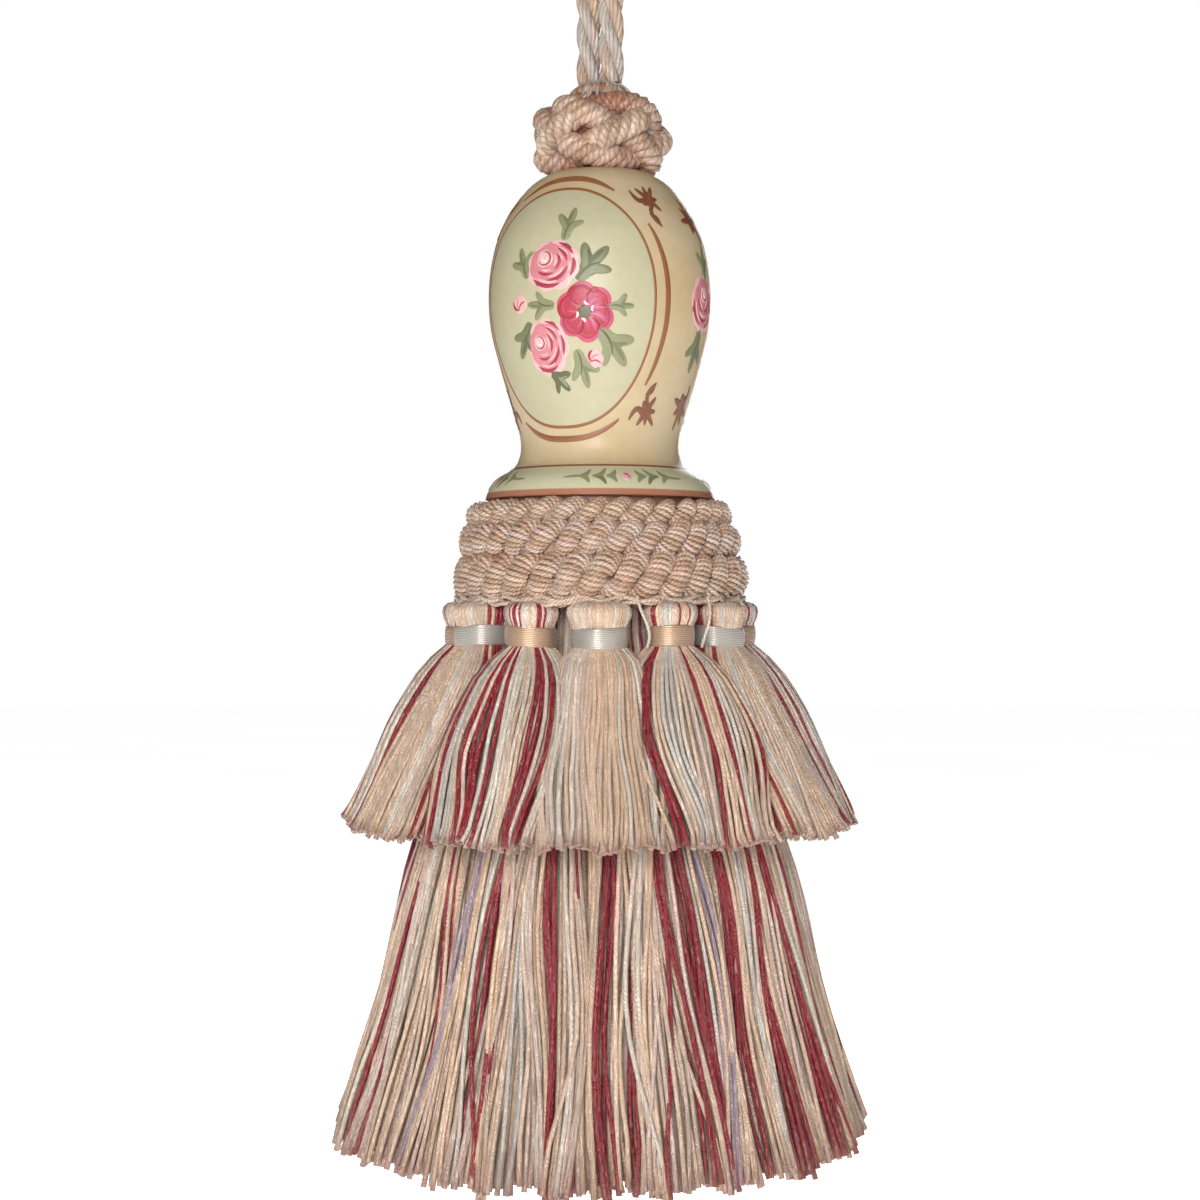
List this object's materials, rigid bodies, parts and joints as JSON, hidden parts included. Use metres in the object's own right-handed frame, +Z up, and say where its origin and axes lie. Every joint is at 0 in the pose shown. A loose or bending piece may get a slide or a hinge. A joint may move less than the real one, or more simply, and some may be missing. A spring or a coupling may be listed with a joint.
{
  "type": "tassel with turned head",
  "caption": "Furnishing tassel on a cord loop: painted turned head, rope collar, a tier of small tassels over a long fringed skirt.",
  "frame": {"origin": "the hang point: the top of the loop's eye on its inner side, on the tassel's axis", "axes": "+Z up along the tassel's axis, -Y out of the front, +X to the right seen from the front"},
  "size_m": [0.1054, 0.1053, 0.2885],
  "materials": {
    "laid_cord": "twisted silky cord",
    "peach_gimp": "satin gimp rope",
    "painted_wood": "hand painted, satin",
    "plain_yarn": "silky plied yarn",
    "striped_yarn": "silky plied yarn in stripes",
    "silver_satin": "wound satin",
    "peach_satin": "wound satin",
    "skirt_yarn": "silky plied yarn in stripes"
  },
  "bodies": {
    "root": {"hanging_loop": "laid_cord", "top_knot": "peach_gimp", "turned_head": "painted_wood", "collar_round_1": "peach_gimp", "collar_round_2": "peach_gimp", "collar_round_3": "peach_gimp", "small_tassel_01": "plain_yarn", "small_tassel_02": "striped_yarn", "small_tassel_03": "plain_yarn", "small_tassel_04": "striped_yarn", "small_tassel_05": "plain_yarn", "small_tassel_06": "striped_yarn", "small_tassel_07": "plain_yarn", "small_tassel_08": "striped_yarn", "small_tassel_09": "plain_yarn", "small_tassel_10": "striped_yarn", "small_tassel_11": "plain_yarn", "small_tassel_12": "striped_yarn", "neck_band_01": "silver_satin", "neck_band_02": "peach_satin", "neck_band_03": "silver_satin", "neck_band_04": "peach_satin", "neck_band_05": "silver_satin", "neck_band_06": "peach_satin", "neck_band_07": "silver_satin", "neck_band_08": "peach_satin", "neck_band_09": "silver_satin", "neck_band_10": "peach_satin", "neck_band_11": "silver_satin", "neck_band_12": "peach_satin", "skirt_bunch_1": "skirt_yarn", "skirt_bunch_2": "skirt_yarn", "skirt_bunch_3": "skirt_yarn", "skirt_bunch_4": "skirt_yarn", "skirt_bunch_5": "skirt_yarn", "skirt_bunch_6": "skirt_yarn", "skirt_bunch_7": "skirt_yarn", "skirt_bunch_8": "skirt_yarn", "skirt_bunch_9": "skirt_yarn"}
  },
  "joints": []
}
